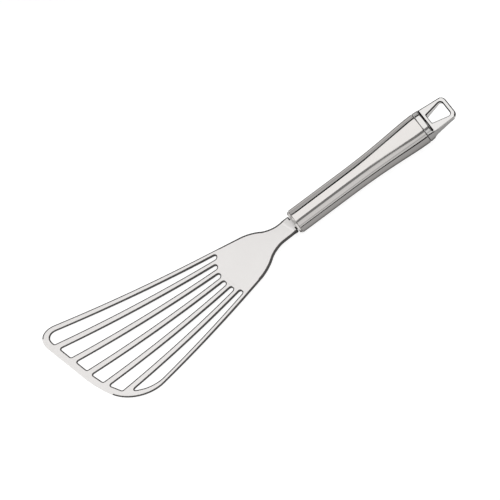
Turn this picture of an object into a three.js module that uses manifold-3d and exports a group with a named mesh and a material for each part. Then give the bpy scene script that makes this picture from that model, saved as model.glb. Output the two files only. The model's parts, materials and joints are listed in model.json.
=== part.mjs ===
// Slotted kitchen turner: a sheet blade with a fan of slots on a flared tube handle.
//
// Units are millimetres. The tool is drawn along its handle axis, x: x = 0 is the front end of the
// tube, -x runs to the front edge of the blade and +x to the hanging eye. +z is the upper side.
// The front edge is slanted, so the blade has a long side (+y) and a short side (-y).
// At the end the tool is laid on the ground plane, with the origin under the middle of its box.

import * as THREE from 'three';
import { mergeVertices } from 'three/addons/utils/BufferGeometryUtils.js';
import Module from 'manifold-3d';

const wasm = await Module();
wasm.setup();

const degrees = THREE.MathUtils.degToRad;

// Handle tube: a cylinder that flares to the rear in one soft S curve
const tubeLength = 109.8;
const tubeFrontRadius = 9.3;
const tubeRearRadius = 11.95;
const tubeWall = 0.8;
const flareStart = 44;
const flareLead = 0.55; // share of the flare that still follows the front radius
const flareTail = 0.24; // share of the flare that has already reached the rear radius

// Front ferrule: a chamfered nose in front of the tube and a spigot inside it
const noseLength = 2;
const noseMargin = 0.4; // flat rim left round the neck on the front face
const ferruleDepth = 8;

// Neck and tang of the blade
const neckWidth = 14;
const neckThickness = 3.2;
const neckDrop = 0.9; // how far the neck lies below the handle axis
const tangWidth = 9;
const tangLength = 34;
const coreLength = 20; // the block inside the tube that steadies the tang

// Blade seen from above
const longNeck = 18.9; // from the handle to the shoulder line of the long side
const shortNeck = 22.6; // from the handle to the shoulder line of the short side
const shoulderAngle = degrees(38);
const neckFillet = 21;
const shoulderRadius = 33;
const edgeAngle = degrees(12.45); // each side edge, from the handle axis
const edgeApex = 42; // where the two side edges would meet
const frontEdge = 185.4; // where the front edge crosses the handle axis
const frontSlant = degrees(14.1);
const frontTurn = degrees(16); // how far the front edge turns back before the short side's corner
const turnRadius = 86;
const longCornerRadius = 11.4;
const shortCornerRadius = 31.3;

// Fan of slots
const slotCount = 6;
const barRootWidth = 3.9;
const barTipWidth = 5.4;
const outerBarWidth = 3.5;
const longBarTipWidth = 4.9; // the outer bar of the long side widens to the front
const frontRim = 5.5;
const slotRoot = 65.6; // where the web ends on the handle axis
const slotRootRadius = 28; // the slots start on an arc round the web
const slotRootCorner = 1.7;
const slotTipCorner = 1.2;

// Blade seen from the side: cranked down behind the neck, then bowed up to the front edge
const crankStart = 6;
const crankRadius = 30;
const crankAngle = degrees(2.8);
const bowStart = 60;
const bowRadius = 600;
const webThickness = 2.0;
const tipThickness = 0.95;

// End cap: a ring, scooped from both sides to a wedge-shaped tongue with a hanging eye
const capLength = 26.2;
const spigotLength = 10;
const ringLength = 4.6;
const ringStep = 0.05; // how far the ring stands below the tube
const ringChamfer = 0.45;
const tongueEndRadius = 9.9;
const tongueCorner = 3;
const tongueRise = 1.2; // how far the middle of the tongue lies above the handle axis
const tongueRootThickness = 6;
const tongueTipThickness = 2.6;
const scoopFillet = 3.5;
const eyeSetback = 0.2; // from the foot of the scoop to the eye
const eyeEndRim = 3.3; // metal left behind the eye
const eyeSideRim = 2.9; // metal left beside the eye's wide end
const eyeRootWidth = 7.9;
const eyeRootCorner = 0.7;
const eyeEndCorner = 2.2;

// Clearance between two pieces, and how finely round shapes are drawn
const fitGap = 0.3;
const turnSteps = 48;
const flareSteps = 12;
const arcSteps = 5;
const crankSteps = 2;
const bowSteps = 14;
const beyond = 20; // how far a cutting block reaches past what it cuts
const weldDistance = 1e-4; // corners closer than this are one corner

// Solids and booleans
function toSolid(geometry) {
  const bare = geometry.clone();
  bare.deleteAttribute('normal');
  bare.deleteAttribute('uv');
  const merged = mergeVertices(bare, weldDistance);
  return new wasm.Manifold(new wasm.Mesh({
    numProp: 3,
    vertProperties: merged.attributes.position.array,
    triVerts: new Uint32Array(merged.index.array),
  }));
}

function toGeometry(solid) {
  const { vertProperties, triVerts } = solid.getMesh();
  const geometry = new THREE.BufferGeometry();
  geometry.setAttribute('position', new THREE.BufferAttribute(vertProperties, 3));
  geometry.setIndex(new THREE.BufferAttribute(triVerts, 1));
  geometry.computeVertexNormals();
  return geometry;
}

// A closed outline from corners { x, y, r }: straight between the corners, an arc of radius r in each
function roundedPath(path, corners) {
  const turns = corners.map((corner, index) => {
    const point = new THREE.Vector2(corner.x, corner.y);
    const before = corners.at(index - 1);
    const after = corners[(index + 1) % corners.length];
    const back = new THREE.Vector2(before.x, before.y).sub(point).normalize();
    const ahead = new THREE.Vector2(after.x, after.y).sub(point).normalize();
    const halfAngle = back.angleTo(ahead) / 2;
    return { point, back, ahead, halfAngle, reach: corner.r / Math.tan(halfAngle) };
  });

  // Two arcs that need more than the side between them are both limited to it
  turns.forEach((turn, index) => {
    const next = turns[(index + 1) % turns.length];
    const share = turn.point.distanceTo(next.point) / (turn.reach + next.reach);
    if (share < 1) {
      turn.reach *= share;
      next.reach *= share;
    }
  });

  turns.forEach(({ point, back, ahead, halfAngle, reach }, index) => {
    const start = point.clone().addScaledVector(back, reach);
    if (index === 0) path.moveTo(start.x, start.y);
    else path.lineTo(start.x, start.y);
    if (reach === 0) return;
    const end = point.clone().addScaledVector(ahead, reach);
    const middle = back.clone().add(ahead).normalize();
    const centre = point.clone().addScaledVector(middle, reach / Math.cos(halfAngle));
    path.absarc(
      centre.x, centre.y, reach * Math.tan(halfAngle),
      Math.atan2(start.y - centre.y, start.x - centre.x),
      Math.atan2(end.y - centre.y, end.x - centre.x),
      back.cross(ahead) > 0,
    );
  });
  path.closePath();
  return path;
}

// A plan outline made into an upright block that reaches the same height above and below the axis
function uprightBlock(shape, height) {
  const block = new THREE.ExtrudeGeometry(shape, {
    depth: 2 * height, bevelEnabled: false, curveSegments: arcSteps,
  });
  return block.translate(0, 0, -height);
}

// A side outline (x, z) made into a block that reaches the same width to both sides of the axis
function sidewaysBlock(shape, width) {
  const block = new THREE.ExtrudeGeometry(shape, {
    depth: 2 * width, bevelEnabled: false, curveSegments: arcSteps,
  });
  return block.rotateX(Math.PI / 2).translate(0, width, 0);
}

// A profile of (x, radius) pairs turned about the handle axis
function turned(profile) {
  const points = profile.map(([x, radius]) => new THREE.Vector2(radius, x));
  return new THREE.LatheGeometry(points, turnSteps).rotateZ(-Math.PI / 2);
}

// Handle tube
const flare = new THREE.CubicBezierCurve(
  new THREE.Vector2(flareStart, tubeFrontRadius),
  new THREE.Vector2(flareStart + flareLead * (tubeLength - flareStart), tubeFrontRadius),
  new THREE.Vector2(tubeLength - flareTail * (tubeLength - flareStart), tubeRearRadius),
  new THREE.Vector2(tubeLength, tubeRearRadius),
);
const tubeOutside = [[0, tubeFrontRadius], ...flare.getPoints(flareSteps).map((p) => [p.x, p.y])];

function tubeInnerRadius(x) {
  const next = tubeOutside.findIndex(([stationX]) => stationX >= x);
  const [x0, radius0] = tubeOutside[next - 1];
  const [x1, radius1] = tubeOutside[next];
  return THREE.MathUtils.mapLinear(x, x0, x1, radius0, radius1) - tubeWall;
}

function makeTube() {
  const inside = tubeOutside.map(([x, radius]) => [x, radius - tubeWall]).reverse();
  return turned([...tubeOutside, ...inside, tubeOutside[0]]);
}

// Front ferrule
const noseRadius = Math.hypot(neckWidth / 2, neckDrop + neckThickness / 2) + noseMargin;
const spigotRadius = tubeFrontRadius - tubeWall - fitGap;

function tangHole(length) {
  const width = tangWidth + 2 * fitGap;
  const height = neckThickness + 2 * fitGap;
  return toSolid(new THREE.BoxGeometry(2 * length, width, height).translate(0, 0, -neckDrop));
}

function makeFerrule() {
  const body = turned([
    [-noseLength, 0],
    [-noseLength, noseRadius],
    [-fitGap, tubeFrontRadius],
    [-fitGap, spigotRadius],
    [ferruleDepth, spigotRadius],
    [ferruleDepth, 0],
  ]);
  return toGeometry(toSolid(body).subtract(tangHole(ferruleDepth + beyond)));
}

// Core inside the tube, drawn from its own front face
function makeCore() {
  const body = turned([
    [0, 0],
    [0, spigotRadius],
    [coreLength, spigotRadius],
    [coreLength, 0],
  ]);
  return toGeometry(toSolid(body).subtract(tangHole(coreLength + beyond)));
}

// Blade from above. Lengthwise lines are y = m x + c, crosswise lines are x = n y + d.
function meet(lengthwise, crosswise) {
  const y = (lengthwise.m * crosswise.d + lengthwise.c) / (1 - lengthwise.m * crosswise.n);
  return new THREE.Vector2(crosswise.n * y + crosswise.d, y);
}

function shiftLengthwise(line, distance) {
  return { m: line.m, c: line.c + distance * Math.hypot(1, line.m) };
}

function shiftCrosswise(line, distance) {
  return { n: line.n, d: line.d + distance * Math.hypot(1, line.n) };
}

function between(line, other) {
  return { m: (line.m + other.m) / 2, c: (line.c + other.c) / 2 };
}

function cornerAt(lengthwise, crosswise, r) {
  const { x, y } = meet(lengthwise, crosswise);
  return { x, y, r };
}

function sideEdge(side) {
  const slope = Math.tan(edgeAngle);
  return { m: -side * slope, c: side * slope * edgeApex };
}

const front = { n: -Math.tan(frontSlant), d: -frontEdge };

// The front edge leads to the short side over two arcs, a wide one and the corner. They join where the
// edge has turned back by frontTurn, and the joint line touches both of them there.
const jointSlant = frontSlant + frontTurn;
const jointOutward = new THREE.Vector2(-Math.cos(jointSlant), -Math.sin(jointSlant));
const cornerCentre = meet(
  shiftLengthwise(sideEdge(-1), shortCornerRadius),
  shiftCrosswise(front, turnRadius - (turnRadius - shortCornerRadius) * Math.cos(frontTurn)),
);
const turnCentre = cornerCentre.clone().addScaledVector(jointOutward, shortCornerRadius - turnRadius);
const joint = cornerCentre.clone().addScaledVector(jointOutward, shortCornerRadius);
const jointLine = { n: -Math.tan(jointSlant), d: joint.x + Math.tan(jointSlant) * joint.y };

function turnCorner() {
  const y = (jointLine.d - front.d) / (front.n - jointLine.n);
  return { x: front.n * y + front.d, y, r: turnRadius };
}

// Tang, neck and shoulder on the long side (+1) or the short side (-1)
function neckSide(side) {
  const slope = Math.tan(shoulderAngle);
  const neck = side > 0 ? longNeck : shortNeck;
  const edge = sideEdge(1);
  const shoulder = { m: -slope, c: neckWidth / 2 - slope * neck };
  const shoulderX = (edge.c - shoulder.c) / (shoulder.m - edge.m);
  const shoulderY = edge.m * shoulderX + edge.c;
  const neckStart = -noseLength - fitGap;
  return [
    { x: tangLength, y: side * tangWidth / 2, r: 0 },
    { x: neckStart, y: side * tangWidth / 2, r: 0 },
    { x: neckStart, y: side * neckWidth / 2, r: 0 },
    { x: -neck, y: side * neckWidth / 2, r: neckFillet },
    { x: shoulderX, y: side * shoulderY, r: shoulderRadius },
  ];
}

function bladeCorners() {
  return [
    ...neckSide(1),
    cornerAt(sideEdge(1), front, longCornerRadius),
    turnCorner(),
    cornerAt(sideEdge(-1), jointLine, shortCornerRadius),
    ...neckSide(-1).reverse(),
  ];
}

// The middle lines of the bars fan out from one point, evenly up to the middle of the outer bars
const outermostBar = slotCount / 2;
const fanApex = edgeApex - outerBarWidth / (2 * Math.sin(edgeAngle));
const barPitch = Math.tan(edgeAngle) / outermostBar;

// Edge of a bar, side +1 or -1. Bar 0 is on the axis.
function barEdge(number, side) {
  const taper = (barTipWidth - barRootWidth) / (slotRoot - frontEdge);
  const middle = { m: -number * barPitch, c: number * barPitch * fanApex };
  return {
    m: middle.m + side * taper / 2,
    c: middle.c + side * (barRootWidth + taper * slotRoot) / 2,
  };
}

// Inner edge of an outer bar, side +1 or -1
function outerBarEdge(side) {
  const tipWidth = side > 0 ? longBarTipWidth : outerBarWidth;
  const taper = (tipWidth - outerBarWidth) / (slotRoot - frontEdge);
  const edge = sideEdge(side);
  const steepness = Math.hypot(1, edge.m);
  return {
    m: edge.m - side * taper * steepness,
    c: edge.c - side * (outerBarWidth + taper * slotRoot) * steepness,
  };
}

// Crosswise line that touches a circle where a lengthwise line leaves it towards the front edge
function touchCircle(line, centre, radius) {
  const offset = line.m * centre.x + line.c - centre.y;
  const a = 1 + line.m * line.m;
  const b = line.m * offset;
  const reach = (-b - Math.sqrt(b * b - a * (offset * offset - radius * radius))) / a;
  const x = centre.x + reach;
  const y = line.m * x + line.c;
  const n = -(y - centre.y) / reach;
  return { n, d: x - n * y };
}

// Crosswise line on which a slot ends, the rim's width behind the front edge or behind one of its arcs
function slotTip(guide) {
  const straight = shiftCrosswise(front, frontRim);
  const innerRadius = turnRadius - frontRim;
  if (meet(guide, straight).y > turnCentre.y - innerRadius * Math.sin(frontSlant)) return straight;
  const turnTip = touchCircle(guide, turnCentre, innerRadius);
  if (meet(guide, turnTip).y > turnCentre.y + innerRadius * jointOutward.y) return turnTip;
  return touchCircle(guide, cornerCentre, shortCornerRadius - frontRim);
}

function slotCorners(index) {
  const lowBar = index - outermostBar;
  const onShortSide = lowBar === -outermostBar;
  const onLongSide = lowBar + 1 === outermostBar;
  const low = onShortSide ? outerBarEdge(-1) : barEdge(lowBar, 1);
  const high = onLongSide ? outerBarEdge(1) : barEdge(lowBar + 1, -1);
  const middle = between(low, high);
  const root = touchCircle(middle, { x: slotRootRadius - slotRoot, y: 0 }, slotRootRadius);
  const tip = slotTip(onShortSide ? between(middle, high) : middle);
  const longTipRadius = Math.max(longCornerRadius - frontRim, slotTipCorner);
  return [
    cornerAt(low, root, slotRootCorner),
    cornerAt(high, root, slotRootCorner),
    cornerAt(high, tip, onLongSide ? longTipRadius : slotTipCorner),
    cornerAt(low, tip, onShortSide ? shortCornerRadius - frontRim : slotTipCorner),
  ];
}

// Blade from the side: stations along the middle of the sheet, with the slope downwards
function sideStations() {
  const stations = [{ x: tangLength + beyond, z: -neckDrop, slope: 0, thickness: neckThickness }];
  for (let step = 0; step <= crankSteps; step += 1) {
    const slope = crankAngle * step / crankSteps;
    stations.push({
      x: -crankStart - crankRadius * Math.sin(slope),
      z: -neckDrop - crankRadius * (1 - Math.cos(slope)),
      slope,
      thickness: THREE.MathUtils.lerp(neckThickness, webThickness, step / crankSteps),
    });
  }
  const crankEnd = stations.at(-1);
  const bowTop = crankEnd.z - (bowStart + crankEnd.x) * Math.tan(crankAngle);
  const past = frontEdge + beyond;
  const endSlope = Math.asin(Math.sin(crankAngle) - (past - bowStart) / bowRadius);
  for (let step = 0; step <= bowSteps; step += 1) {
    const slope = THREE.MathUtils.lerp(crankAngle, endSlope, step / bowSteps);
    const x = -bowStart - bowRadius * (Math.sin(crankAngle) - Math.sin(slope));
    stations.push({
      x,
      z: bowTop - bowRadius * (Math.cos(slope) - Math.cos(crankAngle)),
      slope,
      thickness: THREE.MathUtils.mapLinear(x, -bowStart, -frontEdge, webThickness, tipThickness),
    });
  }
  return stations;
}

// The points of the sheet's upper face (side +1) or lower face (side -1), from the tang to the tip
function sheetFace(side) {
  return sideStations().map(({ x, z, slope, thickness }) => new THREE.Vector2(
    x - side * Math.sin(slope) * thickness / 2,
    z + side * Math.cos(slope) * thickness / 2,
  ));
}

function makeBlade() {
  const plan = roundedPath(new THREE.Shape(), bladeCorners());
  for (let index = 0; index < slotCount; index += 1) {
    plan.holes.push(roundedPath(new THREE.Path(), slotCorners(index)));
  }
  const side = new THREE.Shape([...sheetFace(1), ...sheetFace(-1).reverse()]);
  // The bow runs across the blade in the direction of the slanted front edge
  const skew = new THREE.Matrix4().makeShear(0, 0, front.n, 0, 0, 0);
  const sheet = toSolid(sidewaysBlock(side, frontEdge).applyMatrix4(skew));
  return toGeometry(toSolid(uprightBlock(plan, frontEdge)).intersect(sheet));
}

// End cap, drawn from the seam between tube and cap
const ringRadius = tubeRearRadius - ringStep;
const ringStart = fitGap + ringChamfer;
const tongueTaper = (ringRadius - tongueEndRadius) / (capLength - ringStart);

function makeCap() {
  const insideTube = tubeInnerRadius(tubeLength - spigotLength) - fitGap;
  const blank = toSolid(turned([
    [-spigotLength, 0],
    [-spigotLength, insideTube],
    [fitGap, insideTube],
    [fitGap, ringRadius - ringChamfer],
    [ringStart, ringRadius],
    [capLength, tongueEndRadius],
    [capLength, 0],
  ]));
  const wide = ringRadius + beyond;
  const wideX = ringStart - beyond / tongueTaper;
  const plan = roundedPath(new THREE.Shape(), [
    { x: wideX, y: -wide, r: 0 },
    { x: capLength, y: -tongueEndRadius, r: tongueCorner },
    { x: capLength, y: tongueEndRadius, r: tongueCorner },
    { x: wideX, y: wide, r: 0 },
  ]);
  const rootZ = tongueRootThickness / 2;
  const tipZ = tongueTipThickness / 2;
  const pastX = capLength + beyond;
  const pastZ = THREE.MathUtils.mapLinear(pastX, ringLength, capLength, rootZ, tipZ);
  const scoop = roundedPath(new THREE.Shape(), [
    { x: ringLength, y: rootZ, r: scoopFillet },
    { x: pastX, y: pastZ, r: 0 },
    { x: pastX, y: wide, r: 0 },
    { x: ringLength, y: wide, r: 0 },
  ]);
  const upperScoop = toSolid(sidewaysBlock(scoop, wide));
  const eyeStart = ringLength + scoopFillet + eyeSetback;
  const eyeEnd = capLength - eyeEndRim;
  const eyeEndWidth = 2 * (tongueEndRadius + tongueTaper * eyeEndRim - eyeSideRim);
  const eye = roundedPath(new THREE.Shape(), [
    { x: eyeStart, y: -eyeRootWidth / 2, r: eyeRootCorner },
    { x: eyeEnd, y: -eyeEndWidth / 2, r: eyeEndCorner },
    { x: eyeEnd, y: eyeEndWidth / 2, r: eyeEndCorner },
    { x: eyeStart, y: eyeRootWidth / 2, r: eyeRootCorner },
  ]);
  return toGeometry(blank
    .intersect(toSolid(uprightBlock(plan, wide)))
    .subtract(upperScoop.translate([0, 0, tongueRise]))
    .subtract(upperScoop.rotate([180, 0, 0]).translate([0, 0, tongueRise]))
    .subtract(toSolid(uprightBlock(eye, wide))));
}

// The tool, one named mesh for each piece
const satinSteel = new THREE.MeshStandardMaterial({ color: 0xd6d3d0, roughness: 0.42, metalness: 1 });
const brushedSteel = new THREE.MeshStandardMaterial({ color: 0xc9c7c5, roughness: 0.28, metalness: 1 });
const polishedSteel = new THREE.MeshStandardMaterial({ color: 0xdcdcdc, roughness: 0.14, metalness: 1 });
const corePlastic = new THREE.MeshStandardMaterial({ color: 0x2a2a2c, roughness: 0.7, metalness: 0 });

function piece(name, geometry, material, x = 0) {
  const mesh = new THREE.Mesh(geometry, material);
  mesh.name = name;
  mesh.position.x = x;
  return mesh;
}

const tool = new THREE.Group();
tool.add(piece('blade', makeBlade(), satinSteel));
tool.add(piece('front_ferrule', makeFerrule(), brushedSteel));
tool.add(piece('handle_tube', makeTube(), brushedSteel));
tool.add(piece('tang_core', makeCore(), corePlastic, ferruleDepth + fitGap));
tool.add(piece('end_cap', makeCap(), polishedSteel, tubeLength));

// The tool lies on the rear edge of the ferrule's nose and on the flare of the tube. The blade stays
// above the ground.
const rises = tubeOutside.map(([x, radius]) => Math.atan2(radius - tubeFrontRadius, x + fitGap));
const restTilt = Math.max(...rises);
tool.rotation.y = -restTilt;

const turner = new THREE.Group();
turner.name = 'slotted_turner';
turner.add(tool);
const box = new THREE.Box3().setFromObject(turner, true);
const middle = box.getCenter(new THREE.Vector3());
tool.position.set(-middle.x, -middle.y, -box.min.z);

export default turner;
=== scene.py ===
"""Slotted kitchen turner: a rolled sheet blade with a fan of slots on a flared steel handle.

The file is laid out as a Blender add-on and run as a script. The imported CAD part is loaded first, as a
fixed frame. Each operator models or finishes one piece, in the tool's own frame: x runs along the
handle axis from the front end of the tube, -x to the blade and +x to the hanging eye, z is the upper
side. The finished piece is then laid down in the place where the CAD part lies.
"""

import json
import math

import bmesh
import bpy
from bpy.props import FloatProperty, FloatVectorProperty, IntProperty, PointerProperty
from bpy.types import Operator, Panel, PropertyGroup
from mathutils import Matrix, Vector


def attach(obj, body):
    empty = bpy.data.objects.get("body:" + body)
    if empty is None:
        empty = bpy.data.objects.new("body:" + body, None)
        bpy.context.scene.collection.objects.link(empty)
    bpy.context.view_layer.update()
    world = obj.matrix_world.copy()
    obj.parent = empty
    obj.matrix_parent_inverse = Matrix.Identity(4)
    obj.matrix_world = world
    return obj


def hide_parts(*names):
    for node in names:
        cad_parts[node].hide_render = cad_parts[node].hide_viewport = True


bl_info = {
    "name": "Slotted Turner",
    "version": (1, 0, 0),
    "blender": (4, 5, 0),
    "location": "View3D > Sidebar > Turner",
    "description": "Models a slotted kitchen turner over its CAD frame",
    "category": "Add Mesh",
}

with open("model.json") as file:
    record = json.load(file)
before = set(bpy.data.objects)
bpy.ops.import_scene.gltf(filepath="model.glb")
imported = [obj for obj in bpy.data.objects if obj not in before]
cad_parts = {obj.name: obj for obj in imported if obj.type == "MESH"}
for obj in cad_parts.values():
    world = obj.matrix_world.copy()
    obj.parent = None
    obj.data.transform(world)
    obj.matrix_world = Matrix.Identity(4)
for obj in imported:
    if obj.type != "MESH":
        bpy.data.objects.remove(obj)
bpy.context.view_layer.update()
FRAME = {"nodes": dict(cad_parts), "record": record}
BODY = "root"
MM = 0.001
RING_POINTS = 128
FLARE_STEPS = 36
SHARP_ANGLE = 40
SMOOTH_ANGLE = 35

# Points nearer than SAME_POINT are one point, and edges shorter than SLIVER are taken out after a bevel
SAME_POINT = 0.002 * MM
SLIVER = 0.01 * MM

# The blade's two sides face up or down by more than this, and its walls by less
FACING = 0.7

# Material slots of the blade and the cap: their own steel, and a near black slot that paints the dark
# reflection along their edges
BRIGHT = 0
PAINTED_DARK_EDGE = 1

# A direction along which no two points of a piece lie level
ORDER_WAY = Vector((1, 0.7321, 0.4142))

# The eye's mount gives the way the tool lies: its axis is the tool's upward direction at rest
EYE_MOUNT = next(mount for mount in FRAME["record"]["mounts"] if mount["name"] == "hanging_eye")
EYE_AXIS = Vector(EYE_MOUNT["axis"])
EYE_PLACE = Vector(EYE_MOUNT["pos_m"])
REST_TILT = math.atan2(-EYE_AXIS.x, EYE_AXIS.z)


# Properties

def length(name, description, millimetres):
    return FloatProperty(
        name=name, description=description, default=millimetres * MM,
        precision=5, unit="LENGTH", subtype="DISTANCE",
    )


def turn(name, description, degrees):
    return FloatProperty(
        name=name, description=description, default=math.radians(degrees),
        precision=4, unit="ROTATION", subtype="ANGLE",
    )


def amount(name, description, value):
    return FloatProperty(name=name, description=description, default=value, precision=4)


def count(name, description, value):
    return IntProperty(name=name, description=description, default=value, min=1)


def colour(name, description, value):
    return FloatVectorProperty(
        name=name, description=description, default=value, size=3, min=0, max=1, subtype="COLOR"
    )


class TURNER_PG_blade(PropertyGroup):
    """Sizes of the blade, its neck and its tang"""

    tang_length: length("Tang length", "How far the tang reaches into the handle", 34)
    tang_width: length("Tang width", "Width of the tang", 9)
    neck_width: length("Neck width", "Width of the neck in front of the handle", 14)
    neck_drop: length("Neck drop", "How far the neck lies below the handle axis", 0.9)
    long_neck: length("Long side neck", "From the handle to the shoulder line of the long side", 18.9)
    short_neck: length("Short side neck", "From the handle to the shoulder line of the short side", 22.6)
    neck_fillet: length("Neck fillet", "Radius between neck and shoulder", 21)
    shoulder_angle: turn("Shoulder angle", "Shoulder line from the handle axis", 38)
    shoulder_radius: length("Shoulder radius", "Radius between shoulder and side edge", 33)
    edge_angle: turn("Edge angle", "Side edge from the handle axis", 12.45)
    edge_apex: length("Edge apex", "Where the two side edges would meet", 42)
    front_edge: length("Front edge", "Where the front edge crosses the handle axis", 185.4)
    front_slant: turn("Front slant", "How far the front edge is slanted", 14.1)
    front_turn: turn("Front turn", "How far the front edge turns back before the short corner", 16)
    turn_radius: length("Turn radius", "Radius on which the front edge turns back", 86)
    long_corner: length("Long corner", "Corner radius on the long side", 11.4)
    short_corner: length("Short corner", "Corner radius on the short side", 31.3)
    neck_thickness: length("Neck thickness", "Sheet thickness at the neck", 3.2)
    web_thickness: length("Web thickness", "Sheet thickness behind the slots", 2.0)
    tip_thickness: length("Tip thickness", "Sheet thickness at the front edge", 0.95)
    crank_start: length("Crank start", "Where the neck starts to bend down", 6)
    crank_radius: length("Crank radius", "Radius of the bend behind the neck", 30)
    crank_angle: turn("Crank angle", "How far the neck bends down", 2.8)
    bow_start: length("Bow start", "Where the blade starts to bow up", 60)
    bow_radius: length("Bow radius", "Radius of the blade's bow", 600)
    edge_round: amount("Edge round", "Rounding of the cut edges, as a share of the sheet thickness", 0.25)
    # The dark borders along the cut edges are painted reflection: a near black border that stands in for the
    # dark room mirrored in the rounded edges
    border_end: length("Border end", "Where the wider border of the web ends, from the handle", 50)
    web_painted_border: length("Web border", "How much wider the dark border is on the thick web and neck", 0.45)
    painted_edge_border: length("Edge border", "Width of the dark tumbled border along the cut edges", 0.92)


class TURNER_PG_slots(PropertyGroup):
    """Sizes of the fan of slots"""

    number: count("Slots", "Slots in the fan", 6)
    bar_root: length("Bar at root", "Width of a bar at the web", 3.9)
    bar_tip: length("Bar at tip", "Width of a bar at the front rim", 5.4)
    outer_bar: length("Outer bar", "Width of the two outer bars at the web", 3.5)
    long_bar_tip: length("Long bar at tip", "Width of the long side's outer bar at the front rim", 4.9)
    front_rim: length("Front rim", "Metal left in front of the slots", 5.5)
    root: length("Root", "Where the web ends on the handle axis", 65.6)
    root_radius: length("Root radius", "Arc on which the slots start", 28)
    root_corner: length("Root corner", "Corner radius at a slot's root", 1.7)
    tip_corner: length("Tip corner", "Corner radius at a slot's tip", 1.2)


class TURNER_PG_handle(PropertyGroup):
    """Sizes of the handle tube and its front ferrule"""

    tube_length: length("Tube length", "Length of the tube", 109.8)
    front_radius: length("Front radius", "Radius of the tube's straight part", 9.3)
    rear_radius: length("Rear radius", "Radius of the tube's rear end", 11.95)
    wall: length("Wall", "Wall of the tube", 0.8)
    flare_start: length("Flare start", "Where the tube starts to flare", 44)
    flare_lead: amount("Flare lead", "Share of the flare that still follows the front radius", 0.55)
    flare_tail: amount("Flare tail", "Share of the flare that has reached the rear radius", 0.24)
    rim_round: length("Rim round", "Rounding of the tube's two rims", 0.2)
    nose_length: length("Nose length", "How far the ferrule stands out of the tube", 2)
    nose_margin: length("Nose margin", "Flat rim round the neck", 0.4)
    nose_round: length("Nose round", "Rounding of the ferrule's edges", 0.2)
    ferrule_depth: length("Ferrule depth", "How far the ferrule reaches into the tube", 8)
    fit_gap: length("Fit gap", "Clearance between two pieces", 0.3)


class TURNER_PG_cap(PropertyGroup):
    """Sizes of the end cap with its tongue and eye"""

    cap_length: length("Cap length", "From the seam to the end of the tongue", 26.2)
    spigot_length: length("Spigot length", "How far the cap reaches into the tube", 10)
    ring_length: length("Ring length", "Length of the round part", 4.6)
    ring_step: length("Ring step", "How far the ring stands below the tube", 0.05)
    ring_chamfer: length("Ring chamfer", "Chamfer at the seam", 0.45)
    tongue_radius: length("Tongue radius", "Half width of the tongue's end", 9.9)
    tongue_corner: length("Tongue corner", "Corner radius of the tongue's end", 4.5)
    tongue_rise: length("Tongue rise", "How far the middle of the tongue lies above the handle axis", 1.2)
    root_thickness: length("Root thickness", "Thickness of the tongue at the ring", 6.0)
    tip_thickness: length("Tip thickness", "Thickness of the tongue's end", 2.6)
    scoop_fillet: length("Scoop fillet", "Radius in the foot of the scoop", 3.5)
    eye_setback: length("Eye setback", "From the foot of the scoop to the eye", 0.2)
    eye_end_rim: length("Eye end rim", "Metal left behind the eye", 3.3)
    eye_side_rim: length("Eye side rim", "Metal left beside the eye's wide end", 2.9)
    eye_root_width: length("Eye root width", "Width of the eye's narrow end", 7.9)
    eye_root_corner: length("Eye root corner", "Corner radius at the narrow end", 0.7)
    eye_end_corner: length("Eye end corner", "Corner radius at the wide end", 2.2)
    edge_round: length("Edge round", "Rounding of the edges of the scoops, the tongue and the eye", 0.75)
    seam_round: length("Seam round", "Rounding of the ring's edges at the seam", 0.2)


class TURNER_PG_finish(PropertyGroup):
    """Colours and finishes of the metal, and the painted dark reflections along the edges of blade and cap"""

    satin: colour("Satin steel", "Colour of the blade's faces", (0.58, 0.566, 0.557))
    satin_roughness: amount("Satin roughness", "Roughness of the blade's faces", 0.33)
    # The cut walls and the edge border take this near black colour as a painted reflection of the dark room;
    # the dull walls themselves are real
    cut_edge: colour("Cut edge", "Colour of the blade's cut walls", (0.07, 0.067, 0.065))
    brushed: colour("Brushed steel", "Colour of the handle", (0.57, 0.55, 0.535))
    brushed_roughness: amount("Brushed roughness", "Roughness of the handle", 0.08)
    polished: colour("Polished steel", "Colour of the end cap", (0.57, 0.56, 0.55))
    polished_roughness: amount("Polished roughness", "Roughness of the end cap", 0.09)
    # The near black line along the cap's rounded edges is a painted reflection of the dark room, kept off the
    # camera's side
    rim: colour("Cap rim", "Colour of the burnished line along the cap's edges", (0.014, 0.0135, 0.013))
    grazing: amount("Grazing", "How bright handle and cap stay where they are seen at a grazing angle", 0.12)
    plastic: colour("Core plastic", "Colour of the core inside the handle", (0.022, 0.022, 0.024))


class TURNER_PG_stage(PropertyGroup):
    """Camera, floor and light"""

    lens: FloatProperty(name="Lens", description="Focal length", default=300, subtype="DISTANCE_CAMERA")
    frame_width: length("Frame width", "What the frame takes in at the tool", 352.0)
    camera_lean: turn("Camera lean", "How far the camera leans from straight above the tool", 30)
    handle_turn: turn("Handle turn", "How steeply the handle rises in the frame", 36.69)
    centre_along: length("Centre along", "Frame centre along the handle, from its front", -37.8)
    centre_across: length("Centre across", "Frame centre across the handle, towards the camera", -3.2)
    floor: colour("Floor", "Colour of the floor that takes light and shadow", (0.36, 0.36, 0.36))
    floor_glow: amount("Floor glow", "White of the floor that shadows leave alone", 0.8)
    room: amount("Room", "Brightness of the room round the tool", 0.65)
    flag_level: amount("Flag level", "Brightness of the grey front flag", 0.28)
    # A grey glowing sheet beside the handle, seen only in reflections, stands in for the floor's shade there:
    # painted shade
    floor_shade_level: amount("Side cloth level", "Brightness of the grey cloth beside the handle", 0.55)
    box_level: amount("Softbox level", "Brightness of the softbox", 1.45)
    box_height: length("Softbox height", "Height of the softbox over the floor", 150)


# Working in edit mode

def only(piece):
    bpy.ops.object.select_all(action="DESELECT")
    piece.select_set(True)
    bpy.context.view_layer.objects.active = piece


def open_mesh(piece):
    only(piece)
    bpy.ops.object.mode_set(mode="EDIT")
    bpy.ops.mesh.select_all(action="SELECT")


def close_mesh():
    bpy.ops.object.mode_set(mode="OBJECT")


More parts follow.
